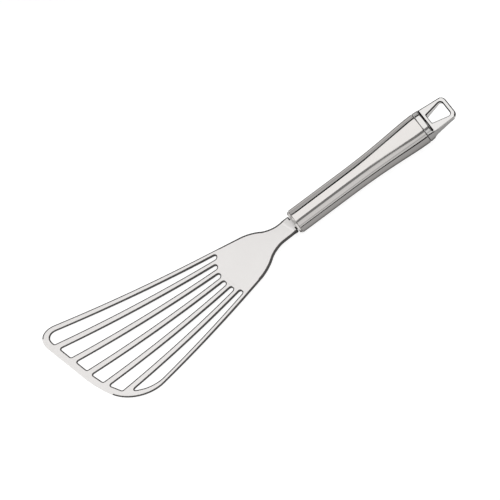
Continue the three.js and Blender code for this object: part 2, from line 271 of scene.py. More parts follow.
def pick(piece, kind, test):
    """Selects the vertices, edges or faces that pass a test, and nothing else"""
    modes = {"verts": "VERT", "edges": "EDGE", "faces": "FACE"}
    bpy.ops.mesh.select_mode(type=modes[kind])
    bpy.ops.mesh.select_all(action="DESELECT")
    mesh = bmesh.from_edit_mesh(piece.data)
    for element in getattr(mesh, kind):
        element.select_set(bool(test(element)))
    mesh.select_flush_mode()
    bmesh.update_edit_mesh(piece.data)


def face_out():
    bpy.ops.mesh.select_all(action="SELECT")
    bpy.ops.mesh.remove_doubles(threshold=SAME_POINT)
    bpy.ops.mesh.normals_make_consistent(inside=False)


def named(name):
    piece = bpy.context.object
    piece.name = name
    piece.data.name = name
    return piece


def reaches(corners):
    """How far each corner's arc reaches along its sides; two arcs on one side share it where it is short"""
    found = []
    for index, (point, radius) in enumerate(corners):
        back = corners[index - 1][0] - point
        ahead = corners[(index + 1) % len(corners)][0] - point
        found.append(radius / math.tan(back.angle(ahead) / 2))
    for index, (point, _) in enumerate(corners):
        after = (index + 1) % len(corners)
        side = (corners[after][0] - point).length
        needed = found[index] + found[after]
        if needed > side:
            found[index] *= side / needed
            found[after] *= side / needed
    return found


def start_point(name, place):
    """A new piece of one selected point, open in edit mode"""
    bpy.ops.object.select_all(action="DESELECT")
    bpy.ops.mesh.primitive_plane_add(size=MM)
    piece = named(name)
    open_mesh(piece)
    pick(piece, "verts", lambda vert: vert.co.x > 0 or vert.co.y > 0)
    bpy.ops.mesh.delete(type="VERT")
    bpy.ops.mesh.select_all(action="SELECT")
    bpy.ops.transform.translate(value=place + Vector((MM / 2, MM / 2, 0)))
    return piece


def trace(name, corners, segments=10):
    """A flat sheet drawn corner by corner, with each (point, radius) corner rounded"""
    piece = start_point(name, corners[0][0])
    for (point, _), (after, _) in zip(corners, corners[1:]):
        bpy.ops.mesh.extrude_vertices_move(TRANSFORM_OT_translate={"value": after - point})
    bpy.ops.mesh.select_all(action="SELECT")
    bpy.ops.mesh.edge_face_add()
    for (point, _), reach in zip(corners, reaches(corners)):
        if reach:
            pick(piece, "verts", lambda vert, place=point: (vert.co - place).length < SAME_POINT / 2)
            bpy.ops.mesh.bevel(offset=reach, segments=segments, affect="VERTICES", clamp_overlap=False)
    close_mesh()
    return piece


def raise_block(piece, half):
    """A flat sheet made into a block that reaches half to both sides of it"""
    open_mesh(piece)
    bpy.ops.transform.translate(value=-half)
    bpy.ops.mesh.extrude_region_move(TRANSFORM_OT_translate={"value": 2 * half})
    face_out()
    close_mesh()
    return piece


def start_ring(name, x, radius, fill="NOTHING"):
    """A new piece of one selected ring round the handle axis, open in edit mode"""
    bpy.ops.object.select_all(action="DESELECT")
    bpy.ops.mesh.primitive_circle_add(
        vertices=RING_POINTS, radius=radius, fill_type=fill,
        rotation=(0, math.pi / 2, 0), location=(x, 0, 0),
    )
    piece = named(name)
    bpy.ops.object.transform_apply(location=True, rotation=True, scale=True)
    open_mesh(piece)
    return piece


def draw_out(stations):
    """Extrudes the selected ring through (x, radius) stations"""
    for (x, radius), (after_x, after_radius) in zip(stations, stations[1:]):
        bpy.ops.mesh.extrude_region_move(TRANSFORM_OT_translate={"value": (after_x - x, 0, 0)})
        growth = after_radius / radius
        bpy.ops.transform.resize(value=(1, growth, growth), center_override=(after_x, 0, 0))


def turned(name, stations):
    """A round solid along x through (x, radius) stations, each ring extruded from the last"""
    piece = start_ring(name, *stations[0], fill="NGON")
    draw_out(stations)
    face_out()
    close_mesh()
    return piece


def apply_modifier(piece, kind, **values):
    """Adds a modifier, sets its values and applies it"""
    only(piece)
    bpy.ops.object.modifier_add(type=kind)
    modifier = piece.modifiers[-1]
    for key, value in values.items():
        setattr(modifier, key, value)
    bpy.ops.object.modifier_apply(modifier=modifier.name)


def cut(piece, tool, operation="DIFFERENCE"):
    """Cuts the piece with a tool, which is used up"""
    apply_modifier(piece, "BOOLEAN", operation=operation, solver="EXACT", object=tool)
    bpy.data.objects.remove(tool)
    open_mesh(piece)
    face_out()
    close_mesh()


def settle_order(piece):
    """Orders a mesh by the places of its parts, because cuts leave it in another order in each run"""
    open_mesh(piece)
    mesh = bmesh.from_edit_mesh(piece.data)
    mesh.verts.sort(key=lambda vert: vert.co.dot(ORDER_WAY))
    mesh.edges.sort(key=lambda edge: (edge.verts[0].co + edge.verts[1].co).dot(ORDER_WAY))
    mesh.faces.sort(key=lambda face: face.calc_center_median().dot(ORDER_WAY))
    bmesh.update_edit_mesh(piece.data)
    close_mesh()


def merge_close(piece, distance):
    """Joins points that lie closer than a distance, so that insets and bevels have room"""
    open_mesh(piece)
    bpy.ops.mesh.remove_doubles(threshold=distance)
    close_mesh()


def clear_slivers(piece):
    """Takes out faces without area and edges without length"""
    open_mesh(piece)
    bpy.ops.mesh.dissolve_degenerate(threshold=SLIVER)
    close_mesh()


def round_edges(piece, radius, sharpness=SHARP_ANGLE, segments=3, behind=-1, material=-1):
    """Rounds the sharp edges that lie behind a place along the tool"""
    open_mesh(piece)
    pick(piece, "edges", lambda edge: edge.calc_face_angle(0) > math.radians(sharpness)
         and min(vert.co.x for vert in edge.verts) > behind)
    bpy.ops.mesh.bevel(
        offset=radius, segments=segments, affect="EDGES",
        clamp_overlap=False, loop_slide=False, material=material,
    )
    close_mesh()


def even_shading(piece):
    """Smooth shading in which the large faces keep their own direction"""
    only(piece)
    bpy.ops.object.shade_smooth_by_angle(angle=math.radians(SMOOTH_ANGLE))
    apply_modifier(piece, "WEIGHTED_NORMAL", mode="FACE_AREA", weight=50, keep_sharp=True)


def lay_down(piece):
    """Turns a piece from the tool's frame into the place where the CAD part lies"""
    only(piece)
    piece.rotation_euler = (0, -REST_TILT, 0)
    piece.location = tool_point(Vector())
    bpy.ops.object.transform_apply(location=True, rotation=True, scale=True)


def eye_middle():
    """Where the eye's mount is in the tool's frame"""
    handle = bpy.context.scene.turner_handle
    cap = bpy.context.scene.turner_cap
    start = cap.ring_length + cap.scoop_fillet + cap.eye_setback
    end = cap.cap_length - cap.eye_end_rim
    return Vector((handle.tube_length + (start + end) / 2, 0, cap.tongue_rise))


def tool_direction(direction):
    return Matrix.Rotation(-REST_TILT, 3, "Y") @ Vector(direction)


def tool_point(point):
    return EYE_PLACE + tool_direction(Vector(point) - eye_middle())


def hand_over(piece, node):
    """The finished piece stands for its CAD node"""
    lay_down(piece)
    even_shading(piece)
    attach(piece, BODY)
    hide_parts(node)


# Materials

# Nearly all of a noise texture's values lie between these two
NOISE_LOW = 0.3
NOISE_HIGH = 0.7


def new_material(name):
    material = bpy.data.materials.new(name)
    material.use_nodes = True
    return material, material.node_tree.nodes["Principled BSDF"]


def add_node(material, kind, **values):
    node = material.node_tree.nodes.new(kind)
    for key, value in values.items():
        setattr(node, key, value)
    return node


def wire(material, source, target):
    material.node_tree.links.new(source, target)


def grain(material, stretch, detail, roughness=0.6):
    """Noise on Object coordinates, stretched along the direction of the brushing"""
    place = add_node(material, "ShaderNodeTexCoord")
    mapping = add_node(material, "ShaderNodeMapping")
    mapping.inputs["Scale"].default_value = stretch
    noise = add_node(material, "ShaderNodeTexNoise")
    settings = {"Scale": 1, "Detail": detail, "Roughness": roughness}
    for name, value in settings.items():
        noise.inputs[name].default_value = value
    wire(material, place.outputs["Object"], mapping.inputs["Vector"])
    wire(material, mapping.outputs["Vector"], noise.inputs["Vector"])
    return noise.outputs["Fac"]


def spread(material, source, low, high):
    """A noise value spread from low to high"""
    node = add_node(material, "ShaderNodeMapRange")
    settings = {"From Min": NOISE_LOW, "From Max": NOISE_HIGH, "To Min": low, "To Max": high}
    for name, value in settings.items():
        node.inputs[name].default_value = value
    wire(material, source, node.inputs["Value"])
    return node.outputs["Result"]


def tint(material, source, value, contrast):
    """The colour, a little darker and lighter with the noise"""
    ramp = add_node(material, "ShaderNodeValToRGB")
    dark, light = ramp.color_ramp.elements
    dark.position = NOISE_LOW
    light.position = NOISE_HIGH
    dark.color = (*[channel * (1 - contrast) for channel in value], 1)
    light.color = (*[min(1, channel * (1 + contrast)) for channel in value], 1)
    wire(material, source, ramp.inputs["Fac"])
    return ramp.outputs["Color"]


def relief(material, shader, source, depth, strength):
    bump = add_node(material, "ShaderNodeBump")
    bump.inputs["Distance"].default_value = depth
    bump.inputs["Strength"].default_value = strength
    wire(material, source, bump.inputs["Height"])
    wire(material, bump.outputs["Normal"], shader.inputs["Normal"])


def metal(name, value, contrast, roughness, lines, cloud=None):
    """Steel whose roughness follows fine lines; its colour follows a cloud, or the lines too"""
    material, shader = new_material(name)
    shader.inputs["Metallic"].default_value = 1
    fine = grain(material, **lines)
    broad = grain(material, **cloud) if cloud else fine
    wire(material, tint(material, broad, value, contrast), shader.inputs["Base Color"])
    wire(material, spread(material, fine, *roughness), shader.inputs["Roughness"])
    return material, shader, fine


def satin_steel(finish):
    """Fine satin sheet: short strokes along the blade"""
    rough = finish.satin_roughness
    material, shader, strokes = metal(
        "satin_steel", finish.satin, contrast=0.012, roughness=(rough - 0.03, rough + 0.03),
        lines={"stretch": (260, 2600, 2600), "detail": 4},
        cloud={"stretch": (38, 38, 38), "detail": 3},
    )
    relief(material, shader, strokes, depth=0.004 * MM, strength=0.25)
    return material


def cut_edge_steel(finish):
    """Dull punched walls and a border along the cut edges, in a near black that is a painted reflection of
    the dark room
    """
    material, _, _ = metal(
        "cut_edge_steel", finish.cut_edge, contrast=0.2, roughness=(0.42, 0.55),
        lines={"stretch": (900, 900, 300), "detail": 3},
    )
    return material


def brushed_steel(finish):
    """Brushed round the handle: hair lines across the axis"""
    rough = finish.brushed_roughness
    material, shader, hair_lines = metal(
        "brushed_steel", finish.brushed, contrast=0.015, roughness=(rough - 0.03, rough + 0.04),
        lines={"stretch": (5200, 90, 90), "detail": 3, "roughness": 0.7},
        cloud={"stretch": (30, 60, 60), "detail": 2},
    )
    relief(material, shader, hair_lines, depth=0.003 * MM, strength=0.3)
    shader.inputs["Specular Tint"].default_value = (*[finish.grazing] * 3, 1)
    return material


def polished_steel(finish, name, value):
    """Polished casting with faint buffing haze"""
    rough = finish.polished_roughness
    material, shader, _ = metal(
        name, value, contrast=0.01, roughness=(rough - 0.02, rough + 0.03),
        lines={"stretch": (220, 420, 420), "detail": 3},
    )
    shader.inputs["Specular Tint"].default_value = (*[finish.grazing] * 3, 1)
    return material


def core_plastic(finish):
    """Moulded core with a fine spark-eroded surface"""
    material, shader = new_material("core_plastic")
    pores = grain(material, stretch=(1500, 1500, 1500), detail=3)
    wire(material, tint(material, pores, finish.plastic, contrast=0.15), shader.inputs["Base Color"])
    wire(material, spread(material, pores, low=0.55, high=0.75), shader.inputs["Roughness"])
    relief(material, shader, pores, depth=0.02 * MM, strength=0.4)
    return material


# The blade's plan: lengthwise lines are y = m x + c, crosswise lines are x = n y + d

def meet(lengthwise, crosswise):
    m, c = lengthwise
    n, d = crosswise
    y = (m * d + c) / (1 - m * n)
    return Vector((n * y + d, y, 0))


def shift(line, distance):
    """A line moved sideways, a lengthwise one towards +y and a crosswise one towards +x"""
    slope, start = line
    return slope, start + distance * math.hypot(1, slope)


def between(line, other):
    return (line[0] + other[0]) / 2, (line[1] + other[1]) / 2


def side_edge(blade, side):
    slope = math.tan(blade.edge_angle)
    return -side * slope, side * slope * blade.edge_apex


def front_line(blade):
    return -math.tan(blade.front_slant), -blade.front_edge


def joint_direction(blade):
    """Outward direction of the front edge where its two arcs join"""
    slant = blade.front_slant + blade.front_turn
    return -Vector((math.cos(slant), math.sin(slant), 0))


def front_arcs(blade):
    """Centres of the two arcs that lead from the front edge to the short side: the turn and the corner"""
    apart = blade.turn_radius - blade.short_corner
    inset = blade.turn_radius - apart * math.cos(blade.front_turn)
    corner = meet(
        shift(side_edge(blade, -1), blade.short_corner),
        shift(front_line(blade), inset),
    )
    return corner - apart * joint_direction(blade), corner


def joint_line(blade):
    """Crosswise line that touches both arcs where they join"""
    _, corner = front_arcs(blade)
    joint = corner + blade.short_corner * joint_direction(blade)
    n = -math.tan(blade.front_slant + blade.front_turn)
    return n, joint.x - n * joint.y


def crossing(line, other):
    """Where two crosswise lines meet"""
    y = (other[1] - line[1]) / (line[0] - other[0])
    return Vector((line[0] * y + line[1], y, 0))


def neck_side(blade, handle, side):
    """Tang, neck and shoulder on the long (side 1) or short (side -1) side"""
    slope = math.tan(blade.shoulder_angle)
    neck = blade.long_neck if side > 0 else blade.short_neck
    edge = side_edge(blade, 1)
    shoulder = -slope, blade.neck_width / 2 - slope * neck
    shoulder_x = (edge[1] - shoulder[1]) / (shoulder[0] - edge[0])
    neck_start = -handle.nose_length - handle.fit_gap
    corners = [
        (blade.tang_length, blade.tang_width / 2, 0),
        (neck_start, blade.tang_width / 2, 0),
        (neck_start, blade.neck_width / 2, 0),
        (-neck, blade.neck_width / 2, blade.neck_fillet),
        (shoulder_x, edge[0] * shoulder_x + edge[1], blade.shoulder_radius),
    ]
    return [(Vector((x, side * y, 0)), radius) for x, y, radius in corners]


def blade_outline(blade, handle):
    front = front_line(blade)
    joint = joint_line(blade)
    return [
        *neck_side(blade, handle, 1),
        (meet(side_edge(blade, 1), front), blade.long_corner),
        (crossing(front, joint), blade.turn_radius),
        (meet(side_edge(blade, -1), joint), blade.short_corner),
        *reversed(neck_side(blade, handle, -1)),
    ]


def outer_bar_edge(blade, slots, side):
    """Inner edge of an outer bar; the bar of the long side (side 1) widens to the front"""
    tip_width = slots.long_bar_tip if side > 0 else slots.outer_bar
    taper = (tip_width - slots.outer_bar) / (slots.root - blade.front_edge)
    m, c = side_edge(blade, side)
    steepness = math.hypot(1, m)
    return m - side * taper * steepness, c - side * (slots.outer_bar + taper * slots.root) * steepness


def bar_edge(blade, slots, number, side):
    """Edge of a bar, side 1 or -1; the middle lines of the bars fan out from one point"""
    apex = blade.edge_apex - slots.outer_bar / (2 * math.sin(blade.edge_angle))
    pitch = 2 * math.tan(blade.edge_angle) / slots.number
    taper = (slots.bar_tip - slots.bar_root) / (slots.root - blade.front_edge)
    return (
        -number * pitch + side * taper / 2,
        number * pitch * apex + side * (slots.bar_root + taper * slots.root) / 2,
    )


def touch_circle(line, centre, radius):
    """Crosswise line that touches a circle where a lengthwise line leaves it towards the front"""
    m, c = line
    offset = m * centre.x + c - centre.y
    a = 1 + m * m
    b = m * offset
    reach = (-b - math.sqrt(b * b - a * (offset * offset - radius * radius))) / a
    x = centre.x + reach
    y = m * x + c
    n = -(y - centre.y) / reach
    return n, x - n * y


def slot_tip(blade, slots, guide):
    """Crosswise line on which a slot ends, the rim's width behind the front edge or behind one of its arcs"""
    turn_centre, corner_centre = front_arcs(blade)
    turn_radius = blade.turn_radius - slots.front_rim
    straight = shift(front_line(blade), slots.front_rim)
    if meet(guide, straight).y > turn_centre.y - turn_radius * math.sin(blade.front_slant):
        return straight
    turn_tip = touch_circle(guide, turn_centre, turn_radius)
    if meet(guide, turn_tip).y > turn_centre.y + turn_radius * joint_direction(blade).y:
        return turn_tip
    return touch_circle(guide, corner_centre, blade.short_corner - slots.front_rim)


def slot_outline(blade, slots, index):
    outermost = slots.number / 2
    low_bar = index - outermost
    short_side = low_bar == -outermost
    long_side = low_bar + 1 == outermost
    low = outer_bar_edge(blade, slots, -1) if short_side else bar_edge(blade, slots, low_bar, 1)
    high = outer_bar_edge(blade, slots, 1) if long_side else bar_edge(blade, slots, low_bar + 1, -1)
    middle = between(low, high)
    root = touch_circle(middle, Vector((slots.root_radius - slots.root, 0, 0)), slots.root_radius)
    tip = slot_tip(blade, slots, between(middle, high) if short_side else middle)
    long_tip = max(blade.long_corner - slots.front_rim, slots.tip_corner)
    short_tip = blade.short_corner - slots.front_rim
    return [
        (meet(low, root), slots.root_corner),
        (meet(high, root), slots.root_corner),
        (meet(high, tip), long_tip if long_side else slots.tip_corner),
        (meet(low, tip), short_tip if short_side else slots.tip_corner),
    ]


def roll_form(blade, width, past):
    """The rolled form that the blade's two faces are pressed on: neck, crank, straight and bow"""
    crank_steps = 12
    bow_steps = 170
    crank = blade.crank_angle
    upward = Vector((-math.sin(crank), 0, math.cos(crank)))
    crank_centre = Vector((-blade.crank_start, 0, -blade.neck_drop - blade.crank_radius))
    crank_stop = crank_centre + blade.crank_radius * upward
    fall = (blade.bow_start + crank_stop.x) * math.tan(crank)
    bow_place = Vector((-blade.bow_start, 0, crank_stop.z - fall))
    bow_centre = bow_place + blade.bow_radius * upward
    reach = (blade.front_edge + past - blade.bow_start) / blade.bow_radius
    sweep = crank - math.asin(math.sin(crank) - reach)

    straight = blade.tang_length + past + blade.crank_start
    form = start_point("roll_form", Vector((straight - blade.crank_start, 0, -blade.neck_drop)))
    bpy.ops.mesh.extrude_vertices_move(TRANSFORM_OT_translate={"value": (-straight, 0, 0)})
    bpy.ops.mesh.spin(steps=crank_steps, angle=crank, center=crank_centre, axis=(0, 1, 0))
    bpy.ops.mesh.extrude_vertices_move(TRANSFORM_OT_translate={"value": bow_place - crank_stop})
    bpy.ops.mesh.spin(steps=bow_steps, angle=-sweep, center=bow_centre, axis=(0, 1, 0))
    bpy.ops.mesh.select_all(action="SELECT")
    bpy.ops.mesh.remove_doubles(threshold=SAME_POINT)
    across = width * Vector((-math.tan(blade.front_slant), 1, 0))
    bpy.ops.transform.translate(value=-across / 2)
    bpy.ops.mesh.extrude_edges_move(TRANSFORM_OT_translate={"value": across})
    close_mesh()

    thickness = form.vertex_groups.new(name="thickness")
    for vert in form.data.vertices:
        thickness.add([vert.index], thickness_share(blade, vert.co), "REPLACE")
    apply_modifier(
        form, "SOLIDIFY", thickness=blade.neck_thickness, offset=0,
        use_even_offset=True, vertex_group=thickness.name,
    )
    return form


def rolled_place(blade, point):
    """Place along the blade; the bow runs across it in the direction of the slanted front edge"""
    return point.x + point.y * math.tan(blade.front_slant)


def crank_end(blade):
    """Where the crank ends along the blade"""
    return -blade.crank_start - blade.crank_radius * math.sin(blade.crank_angle)


def sheet_thickness(blade, x):
    """Thickness of the sheet: even in the neck, thinner through the crank, then tapered to the tip"""
    if x > -blade.crank_start:
        return blade.neck_thickness
    if x > crank_end(blade):
        share = (x + blade.crank_start) / (crank_end(blade) + blade.crank_start)
        return blade.neck_thickness + share * (blade.web_thickness - blade.neck_thickness)
    if x > -blade.bow_start:
        return blade.web_thickness
    share = (x + blade.bow_start) / (blade.bow_start - blade.front_edge)
    return blade.web_thickness + share * (blade.tip_thickness - blade.web_thickness)


def thickness_share(blade, point):
    """Thickness of the sheet at a point, as a share of the neck's"""
    return sheet_thickness(blade, rolled_place(blade, point)) / blade.neck_thickness


def cross_cuts(blade, past):
    """Where the plate gets cross lines, so that it can follow the roll form"""
    crank_steps = 6
    # The half step and this number keep the lines off the corner points of the slots
    bow_steps = 64
    crank_run = crank_end(blade) + blade.crank_start
    bow_run = blade.front_edge + past - blade.bow_start
    cuts = [-blade.crank_start + step / crank_steps * crank_run for step in range(crank_steps + 1)]
    cuts.append(-blade.border_end)
    cuts += [-blade.bow_start - (step + 0.5) / bow_steps * bow_run for step in range(bow_steps)]
    return cuts


def press(piece, form, side):
    """Presses the plate's upper (side 1) or lower (side -1) vertices on the roll form"""
    group = piece.vertex_groups.new(name="pressed")
    group.add([vert.index for vert in piece.data.vertices if vert.co.z * side > 0], 1, "REPLACE")
    apply_modifier(
        piece, "SHRINKWRAP", wrap_method="PROJECT", use_project_z=True,
        use_negative_direction=side > 0, use_positive_direction=side < 0,
        target=form, vertex_group=group.name,
    )
    piece.vertex_groups.clear()


def round_sheet_edges(piece, blade):
    """Rounds the cut edges, more where the sheet is thicker"""
    open_mesh(piece)
    bpy.ops.mesh.select_mode(type="EDGE")
    bpy.ops.mesh.select_all(action="DESELECT")
    bpy.ops.mesh.edges_select_sharp(sharpness=math.radians(SHARP_ANGLE))
    close_mesh()
    mesh = piece.data
    weights = mesh.attributes.new(name="bevel_weight_edge", type="FLOAT", domain="EDGE")
    for edge in mesh.edges:
        if edge.select:
            weights.data[edge.index].value = thickness_share(blade, mesh.vertices[edge.vertices[0]].co)
    apply_modifier(
        piece, "BEVEL", limit_method="WEIGHT", width=blade.edge_round * blade.neck_thickness,
        segments=4, use_clamp_overlap=False,
    )


def paint(piece, slot):
    """Gives the selected faces a material slot"""
    piece.active_material_index = slot
    bpy.ops.object.material_slot_assign()


def inset_bright(piece, border):
    """Insets the selected faces by a border, and what lies inside it becomes bright"""
    bpy.ops.mesh.inset(thickness=border, use_boundary=True, use_even_offset=False)
    paint(piece, BRIGHT)


def border_faces(piece, blade):
    """Paints the cut walls and a border of the two faces dark, a wider one on web and neck, as a painted
    reflection of the dark room in the edges
    """
    for face in piece.data.polygons:
        face.material_index = PAINTED_DARK_EDGE
    open_mesh(piece)
    for side in (1, -1):
        pick(piece, "faces", lambda face, way=side: face.normal.z * way > FACING)
        inset_bright(piece, blade.painted_edge_border)
        pick(piece, "faces", lambda face, way=side: face.normal.z * way > FACING
             and face.material_index == BRIGHT
             and rolled_place(blade, face.calc_center_median()) > -blade.border_end)
        paint(piece, PAINTED_DARK_EDGE)
        inset_bright(piece, blade.web_painted_border)
    close_mesh()
    # The second inset also draws a line across the web where the wider border ends, which is taken back
    for face in piece.data.polygons:
        past_end = abs(rolled_place(blade, face.center) + blade.border_end)
        on_line = abs(face.normal.z) > FACING and past_end < 3 * blade.web_painted_border
        if on_line and abs(face.center.y) < half_width(blade, face.center.x) - 2 * blade.painted_edge_border:
            face.material_index = BRIGHT


def half_width(blade, x):
    """Half the distance between the blade's two side edges at x"""
    m, c = side_edge(blade, 1)
    return abs(m * x + c)


def clear_front_edge(piece, blade):
    """The front edge is left without the painted dark reflection as far as the short corner, so its border is
    satin too
    """
    n, d = front_line(blade)
    clear_width = 3 * MM
    turn_centre, corner = front_arcs(blade)
    turn_start = turn_centre.y - blade.turn_radius * math.sin(blade.front_slant)
    turn_end = corner.y + blade.short_corner * joint_direction(blade).y
    for face in piece.data.polygons:
        past_turn = max(0, turn_start - face.center.y) / math.cos(blade.front_slant)
        sag = blade.turn_radius - math.sqrt(blade.turn_radius ** 2 - past_turn ** 2)
        behind = (face.center.x - n * face.center.y - d) * math.cos(blade.front_slant) - sag
        if behind < clear_width and face.center.y > turn_end:
            face.material_index = BRIGHT


class TURNER_OT_blade(Operator):
    """Models the blade: a plate with a fan of slots, rolled to its bow"""

    bl_idname = "turner.blade"
    bl_label = "Blade"

    def execute(self, context):
        blade = context.scene.turner_blade
        slots = context.scene.turner_slots
        handle = context.scene.turner_handle
        finish = context.scene.turner_finish
        tall = Vector((0, 0, 60 * MM))
        past = 20 * MM
        form_width = 200 * MM
        close_points = 0.18 * MM
        piece = raise_block(trace("turner_blade", blade_outline(blade, handle), segments=16), tall)
        for index in range(slots.number):
            tool = trace("slot_tool", slot_outline(blade, slots, index), segments=8)
            cut(piece, raise_block(tool, 1.2 * tall))

        open_mesh(piece)
        lengthwise = (1, math.tan(blade.front_slant), 0)
        for x in cross_cuts(blade, past):
            bpy.ops.mesh.select_all(action="SELECT")
            bpy.ops.mesh.bisect(plane_co=(x, 0, 0), plane_no=lengthwise)
        close_mesh()
        merge_close(piece, close_points)

        form = roll_form(blade, form_width, past)
        for side in (1, -1):
            press(piece, form, side)
        bpy.data.objects.remove(form)
        if max(abs(vert.co.z) for vert in piece.data.vertices) > tall.z / 2:
            raise RuntimeError("a part of the blade missed the roll form")

        piece.data.materials.append(satin_steel(finish))
        # The second material paints the cut walls and a border along the cut edges near black: a painted
        # reflection of the dark room
        piece.data.materials.append(cut_edge_steel(finish))
        border_faces(piece, blade)
        round_sheet_edges(piece, blade)
        clear_slivers(piece)
        clear_front_edge(piece, blade)
        hand_over(piece, "blade")
        return {"FINISHED"}


# Handle

def nose_radius(blade, handle):
    return math.hypot(blade.neck_width / 2, blade.neck_drop + blade.neck_thickness / 2) + handle.nose_margin


class TURNER_OT_ferrule(Operator):
    """Models the front ferrule: a chamfered nose with a slot for the tang"""

    bl_idname = "turner.ferrule"
    bl_label = "Front ferrule"

    def execute(self, context):
        blade = context.scene.turner_blade
        handle = context.scene.turner_handle
        spigot = handle.front_radius - handle.wall - handle.fit_gap
        piece = turned("turner_ferrule", [
            (-handle.nose_length, nose_radius(blade, handle)),
            (-handle.fit_gap, handle.front_radius),
            (-handle.fit_gap, spigot),
            (handle.ferrule_depth, spigot),
        ])
        half_width = blade.tang_width / 2 + handle.fit_gap
        half_height = blade.neck_thickness / 2 + handle.fit_gap
        middle = Vector((0, 0, -blade.neck_drop))
        slot = trace("tang_tool", [
            (middle + Vector((0, side * half_width, rise * half_height)), 0)
            for side, rise in ((-1, -1), (1, -1), (1, 1), (-1, 1))
        ])
        cut(piece, raise_block(slot, Vector((4 * handle.ferrule_depth, 0, 0))))
        round_edges(piece, handle.nose_round, sharpness=30)
        piece.data.materials.append(brushed_steel(context.scene.turner_finish))
        hand_over(piece, "front_ferrule")
        return {"FINISHED"}


def flare_stations(handle, steps):
    """(x, radius) along the flare, a soft S curve between the two radii"""
    run = handle.tube_length - handle.flare_start
    xs = (0, handle.flare_lead * run, run - handle.flare_tail * run, run)
    radii = (handle.front_radius, handle.front_radius, handle.rear_radius, handle.rear_radius)
    stations = []
    for step in range(steps + 1):
        t = step / steps
        weights = ((1 - t) ** 3, 3 * t * (1 - t) ** 2, 3 * t * t * (1 - t), t ** 3)
        x = sum(weight * value for weight, value in zip(weights, xs))
        radius = sum(weight * value for weight, value in zip(weights, radii))
        stations.append((handle.flare_start + x, radius))
    return stations


def tube_radius(handle, x):
    """Outer radius of the flare at x"""
    stations = flare_stations(handle, FLARE_STEPS)
    for (near_x, near), (far_x, far) in zip(stations, stations[1:]):
        if near_x <= x <= far_x:
            return near + (x - near_x) / (far_x - near_x) * (far - near)
    raise ValueError("x is not on the flare")


class TURNER_OT_handle(Operator):
    """Models the handle tube: a cylinder drawn out to a flare, with a thin wall"""

    bl_idname = "turner.handle"
    bl_label = "Handle tube"

    def execute(self, context):
        handle = context.scene.turner_handle
        outside = [(0, handle.front_radius), *flare_stations(handle, FLARE_STEPS)]
        inside = [(x, radius - handle.wall) for x, radius in reversed(outside)]
        piece = start_ring("turner_handle", *outside[0])
        draw_out(outside + inside)
        pick(piece, "edges", lambda edge: edge.is_boundary)
        bpy.ops.mesh.bridge_edge_loops()
        face_out()
        close_mesh()
        round_edges(piece, handle.rim_round)
        piece.data.materials.append(brushed_steel(context.scene.turner_finish))
        hand_over(piece, "handle_tube")
        return {"FINISHED"}


class TURNER_OT_core(Operator):
    """Finishes the core inside the handle, whose CAD shape stays"""

    bl_idname = "turner.core"
    bl_label = "Core"

    def execute(self, context):
        core = FRAME["nodes"]["tang_core"]
        core.data.materials.clear()
        core.data.materials.append(core_plastic(context.scene.turner_finish))
        return {"FINISHED"}


# End cap

def clear_bright_edges(piece, handle, cap):
    """Keeps the painted dark reflection line on the eye, the tip and the +y side; on the foot and the -y
    side, towards the camera, it is taken off and the edge stays plain polished steel
    """
    foot_end = handle.tube_length + cap.ring_length + cap.scoop_fillet / 2
    straight_end = handle.tube_length + cap.cap_length - cap.tongue_corner
    bright_side = cap.tongue_radius - 2 * cap.edge_round
    for face in piece.data.polygons:
        beside = face.center.x < straight_end and face.center.y < -bright_side
        if face.center.x < foot_end or beside:
            face.material_index = BRIGHT


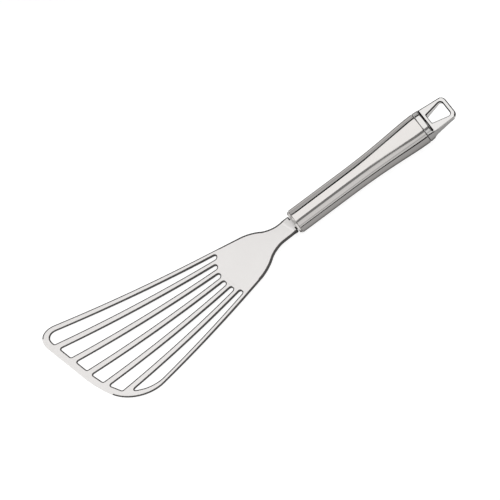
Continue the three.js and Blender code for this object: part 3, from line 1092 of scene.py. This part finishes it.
class TURNER_OT_end_cap(Operator):
    """Models the end cap: a ring, scooped from both sides to a tongue with a hanging eye"""

    bl_idname = "turner.end_cap"
    bl_label = "End cap"

    def execute(self, context):
        handle = context.scene.turner_handle
        cap = context.scene.turner_cap
        seam = handle.tube_length
        ring = handle.rear_radius - cap.ring_step
        spigot = tube_radius(handle, seam - cap.spigot_length) - handle.wall - handle.fit_gap
        ring_start = handle.fit_gap + cap.ring_chamfer
        taper = (ring - cap.tongue_radius) / (cap.cap_length - ring_start)
        piece = turned("turner_end_cap", [
            (seam - cap.spigot_length, spigot),
            (seam + handle.fit_gap, spigot),
            (seam + handle.fit_gap, ring - cap.ring_chamfer),
            (seam + ring_start, ring),
            (seam + cap.cap_length, cap.tongue_radius),
        ])

        past = 20 * MM
        clear = 0.05 * MM
        close_points = 0.2 * MM
        wide = ring + past
        end = seam + cap.cap_length
        start = seam + ring_start - past / taper
        plan = trace("plan_tool", [
            (Vector((start, -wide - clear, 0)), 0),
            (Vector((end, -cap.tongue_radius - clear, 0)), cap.tongue_corner),
            (Vector((end, cap.tongue_radius + clear, 0)), cap.tongue_corner),
            (Vector((start, wide + clear, 0)), 0),
        ])
        cut(piece, raise_block(plan, Vector((0, 0, wide))), "INTERSECT")
        settle_order(piece)

        foot = seam + cap.ring_length
        fall = (cap.tip_thickness - cap.root_thickness) / 2 / (cap.cap_length - cap.ring_length)
        for side in (1, -1):
            foot_z = cap.tongue_rise + side * cap.root_thickness / 2
            past_z = cap.tongue_rise + side * (cap.tip_thickness / 2 + fall * past)
            scoop = trace("scoop_tool", [
                (Vector((foot, 0, foot_z)), cap.scoop_fillet),
                (Vector((end + past, 0, past_z)), 0),
                (Vector((end + past, 0, side * wide)), 0),
                (Vector((foot, 0, side * wide)), 0),
            ], segments=14)
            cut(piece, raise_block(scoop, Vector((0, wide, 0))))
            settle_order(piece)

        eye_start = foot + cap.scoop_fillet + cap.eye_setback
        eye_end = end - cap.eye_end_rim
        half_root = cap.eye_root_width / 2
        half_end = cap.tongue_radius + taper * cap.eye_end_rim - cap.eye_side_rim
        eye = trace("eye_tool", [
            (Vector((eye_start, -half_root, 0)), cap.eye_root_corner),
            (Vector((eye_end, -half_end, 0)), cap.eye_end_corner),
            (Vector((eye_end, half_end, 0)), cap.eye_end_corner),
            (Vector((eye_start, half_root, 0)), cap.eye_root_corner),
        ])
        cut(piece, raise_block(eye, Vector((0, 0, wide))))
        settle_order(piece)
        finish = context.scene.turner_finish
        # The second material, near black, paints the dark reflection of the room on the rounded edges behind
        # the ring
        piece.data.materials.append(polished_steel(finish, "polished_steel", finish.polished))
        piece.data.materials.append(polished_steel(finish, "burnished_line", finish.rim))
        merge_close(piece, close_points)
        mid_ring = foot - cap.ring_length / 2
        round_edges(piece, cap.edge_round, sharpness=35, segments=4, behind=mid_ring, material=PAINTED_DARK_EDGE)
        round_edges(piece, cap.seam_round, sharpness=42)
        clear_slivers(piece)
        clear_bright_edges(piece, handle, cap)
        hand_over(piece, "end_cap")
        return {"FINISHED"}


# Stage

def bare_material(name):
    """A material without a shader, and the socket of its surface"""
    material = bpy.data.materials.new(name)
    material.use_nodes = True
    material.node_tree.nodes.clear()
    return material, add_node(material, "ShaderNodeOutputMaterial").inputs["Surface"]


def glow_material(name, level):
    material, surface = bare_material(name)
    emission = add_node(material, "ShaderNodeEmission")
    emission.inputs["Strength"].default_value = level
    wire(material, emission.outputs["Emission"], surface)
    return material


def black_material(name):
    material, shader = new_material(name)
    shader.inputs["Base Color"].default_value = (0, 0, 0, 1)
    shader.inputs["Roughness"].default_value = 1
    shader.inputs["Specular IOR Level"].default_value = 0
    return material


def combine(material, kind, first, second, **values):
    """A node of two inputs, wired to two outputs"""
    node = add_node(material, kind, **values)
    wire(material, first, node.inputs[0])
    wire(material, second, node.inputs[1])
    return node.outputs[0]


def floor_material(stage):
    """Pale floor: a white veil for the camera and for reflections, over a ground that takes shadows"""
    material, surface = bare_material("pale_floor")
    ground = add_node(material, "ShaderNodeBsdfDiffuse")
    ground.inputs["Color"].default_value = (*stage.floor, 1)
    rays = add_node(material, "ShaderNodeLightPath").outputs
    shown = rays["Is Camera Ray"]
    for kind in ("Is Glossy Ray", "Is Transmission Ray"):
        shown = combine(material, "ShaderNodeMath", shown, rays[kind], operation="MAXIMUM")
    level = add_node(material, "ShaderNodeMath", operation="MULTIPLY")
    level.inputs[1].default_value = stage.floor_glow
    wire(material, shown, level.inputs[0])
    veil = add_node(material, "ShaderNodeEmission")
    wire(material, level.outputs["Value"], veil.inputs["Strength"])
    both = combine(material, "ShaderNodeAddShader", ground.outputs["BSDF"], veil.outputs["Emission"])
    wire(material, both, surface)
    return material


def card(name, points, material):
    """A flat card of the stage, out of the camera's sight"""
    piece = trace(name, [(Vector(point), 0) for point in points])
    piece.data.materials.append(material)
    piece.visible_camera = False
    return piece


# Rows of the softbox over the tool: place along x in metres, then four angles over the floor in degrees, on
# the camera's side, for the outer edge of the front flag, the softbox's front and rear edges and the outer
# edge of the rear flag
SOFTBOX_ROWS = (
    (-0.6, 35, 48, 148, 158),
    (0.0, 35, 48, 148, 158),
    (0.03, 46, 64, 119, 134),
    (0.073, 48, 66, 122, 138),
    (0.086, 46, 64, 124, 141),
    (0.097, 33, 51, 137, 152),
    (0.118, 28, 46, 141, 157),
    (0.14, 28, 46, 144, 159),
    (0.5, 28, 46, 144, 159),
)


def overhead(x, degrees, height):
    """Point at a height over the floor, seen from the tool under an angle over the camera's side"""
    return x, -height / math.tan(math.radians(degrees)), height


def overhead_edges(height):
    """The four long edges of the softbox and its flags"""
    return [[overhead(x, angles[edge], height) for x, *angles in SOFTBOX_ROWS] for edge in range(4)]


def floor_cloth(name, along, across, material):
    """A cloth that lies on the floor and shows in reflections alone"""
    height = 0.5 * MM
    front, rear = along
    near, far = across
    corners = [(front, near), (rear, near), (rear, far), (front, far)]
    piece = card(name, [(x, y, height) for x, y in corners], material)
    piece.visible_shadow = False
    piece.visible_diffuse = False


def upright(low, high):
    """Corners of an upright card along the stage, on the camera's side"""
    half_length = 1.5
    y = -1.0
    return [(-half_length, y, low), (half_length, y, low), (half_length, y, high), (-half_length, y, high)]


class TURNER_OT_stage(Operator):
    """Sets up the floor, the softbox with its cards and cloths, the room and the camera"""

    bl_idname = "turner.stage"
    bl_label = "Stage"

    def execute(self, context):
        stage = context.scene.turner_stage
        bpy.ops.object.select_all(action="DESELECT")
        floor_size = 12
        bpy.ops.mesh.primitive_plane_add(size=floor_size)
        floor = named("floor")
        floor.data.materials.append(floor_material(stage))

        flag_front, front, rear, flag_rear = overhead_edges(stage.box_height)
        black = black_material("black_cloth")
        card("softbox", [*front, *reversed(rear)], glow_material("softbox_cloth", stage.box_level))
        card("front_flag", [*flag_front, *reversed(front)], glow_material("grey_cloth", stage.flag_level))
        card("rear_flag", [*rear, *reversed(flag_rear)], black)
        card("upper_fill", upright(low=0.2, high=0.95), glow_material("upper_fill_cloth", level=1.0))
        card("lower_fill", upright(low=0.1, high=0.2), glow_material("lower_fill_cloth", level=0.7))
        end = 0.5
        half_end = 0.6
        end_top = 0.15
        card("end_flag", [
            (end, -half_end, 0), (end, half_end, 0), (end, half_end, end_top), (end, -half_end, end_top),
        ], black)
        floor_cloth("end_cloth", along=(0.19, end), across=(-0.15, 0.3), material=black)
        # The grey sheet beside the handle glows in place of the floor's shade next to it and is seen only in
        # reflections: painted shade
        beside_handle = (0.02, 0.165)
        side = glow_material("side_cloth", stage.floor_shade_level)
        floor_cloth("side_cloth", along=beside_handle, across=(-0.012, -0.055), material=side)
        floor_cloth("low_flag", along=beside_handle, across=(-0.055, -0.1), material=black)
        far = glow_material("far_cloth", level=0.8)
        floor_cloth("far_cloth", along=beside_handle, across=(-0.1, -0.3), material=far)

        world = bpy.data.worlds.new("room")
        world.use_nodes = True
        background = world.node_tree.nodes["Background"]
        background.inputs["Color"].default_value = (1, 1, 1, 1)
        background.inputs["Strength"].default_value = stage.room
        context.scene.world = world
        context.scene.view_settings.view_transform = "Standard"

        along = tool_direction((1, 0, 0))
        lean = stage.camera_lean
        back = tool_direction((0, -math.sin(lean), math.cos(lean)))
        across = tool_direction((0, -math.cos(lean), -math.sin(lean)))
        rise = stage.handle_turn
        right = math.cos(rise) * along + math.sin(rise) * across
        up = math.sin(rise) * along - math.cos(rise) * across
        centre = tool_point(Vector()) + stage.centre_along * along + stage.centre_across * across
        bpy.ops.object.camera_add()
        camera = context.object
        camera.name = "camera"
        camera.data.lens = stage.lens
        distance = stage.frame_width * stage.lens / camera.data.sensor_width
        turned_axes = Matrix((right, up, back)).transposed()
        camera.matrix_world = Matrix.Translation(centre + distance * back) @ turned_axes.to_4x4()
        camera.data.clip_end = 100
        context.scene.camera = camera
        return {"FINISHED"}


class TURNER_PT_panel(Panel):
    """Lists the operators of the turner and the sizes they use"""

    bl_label = "Slotted Turner"
    bl_idname = "TURNER_PT_panel"
    bl_space_type = "VIEW_3D"
    bl_region_type = "UI"
    bl_category = "Turner"

    def draw(self, context):
        column = self.layout.column(align=True)
        for operator in OPERATORS:
            column.operator(operator.bl_idname)
        for name, group in GROUPS.items():
            box = self.layout.box()
            box.label(text=name.split("_")[1].capitalize())
            for key in group.__annotations__:
                box.prop(getattr(context.scene, name), key)


OPERATORS = (
    TURNER_OT_blade,
    TURNER_OT_ferrule,
    TURNER_OT_handle,
    TURNER_OT_core,
    TURNER_OT_end_cap,
    TURNER_OT_stage,
)
GROUPS = {
    "turner_blade": TURNER_PG_blade,
    "turner_slots": TURNER_PG_slots,
    "turner_handle": TURNER_PG_handle,
    "turner_cap": TURNER_PG_cap,
    "turner_finish": TURNER_PG_finish,
    "turner_stage": TURNER_PG_stage,
}


def register():
    for kind in (*GROUPS.values(), *OPERATORS, TURNER_PT_panel):
        bpy.utils.register_class(kind)
    for name, group in GROUPS.items():
        setattr(bpy.types.Scene, name, PointerProperty(type=group))


def unregister():
    for name in GROUPS:
        delattr(bpy.types.Scene, name)
    for kind in (TURNER_PT_panel, *reversed(OPERATORS), *reversed(GROUPS.values())):
        bpy.utils.unregister_class(kind)


def main():
    register()
    bpy.ops.turner.stage()
    bpy.ops.turner.blade()
    bpy.ops.turner.ferrule()
    bpy.ops.turner.handle()
    bpy.ops.turner.core()
    bpy.ops.turner.end_cap()


if __name__ == "__main__":
    main()
